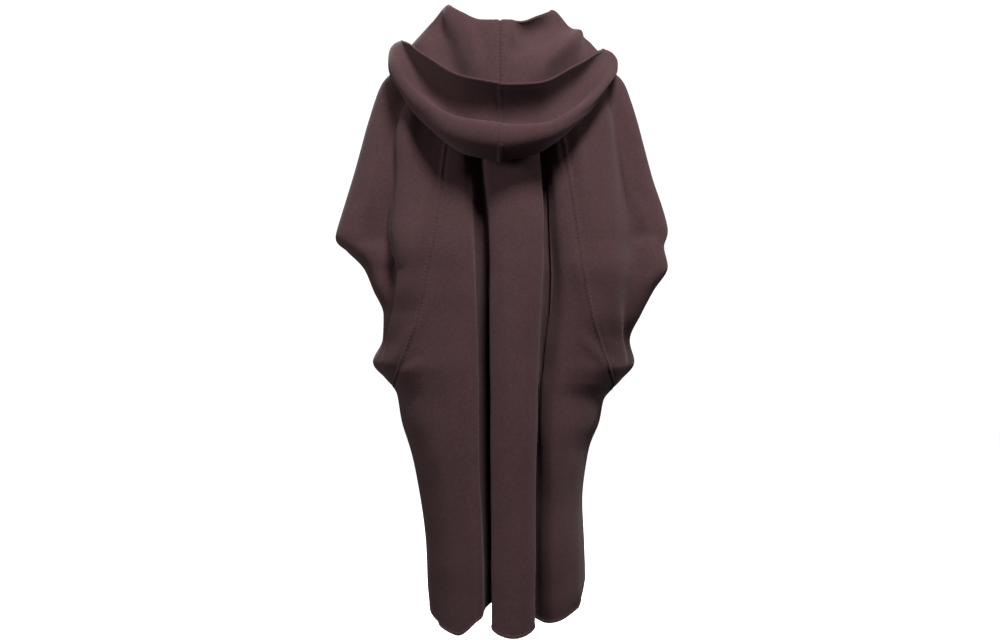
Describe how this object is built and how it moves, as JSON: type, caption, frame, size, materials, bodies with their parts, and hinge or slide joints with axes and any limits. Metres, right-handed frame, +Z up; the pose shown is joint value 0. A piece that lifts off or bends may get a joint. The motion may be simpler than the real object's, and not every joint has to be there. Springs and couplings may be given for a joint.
{
  "type": "burnous hooded cloak",
  "caption": "Long dark brown wool burnous with a thrown-back hood, deep raglan sleeves and an open front, hollow as worn.",
  "frame": {"origin": "middle of the neck, level with the nape, where the wearer's shoulders and neck hold the cloak", "axes": "+Z up, the back of the cloak faces -Y and the open front faces +Y, +X to the wearer's right"},
  "size_m": [0.6595, 0.3312, 1.2358],
  "materials": {
    "wool": "matt double-faced wool with a short soft nap"
  },
  "bodies": {
    "root": {"back": "wool", "sleeve_left": "wool", "sleeve_right": "wool", "front_left": "wool", "front_right": "wool", "hood_left": "wool", "hood_right": "wool"}
  },
  "joints": []
}
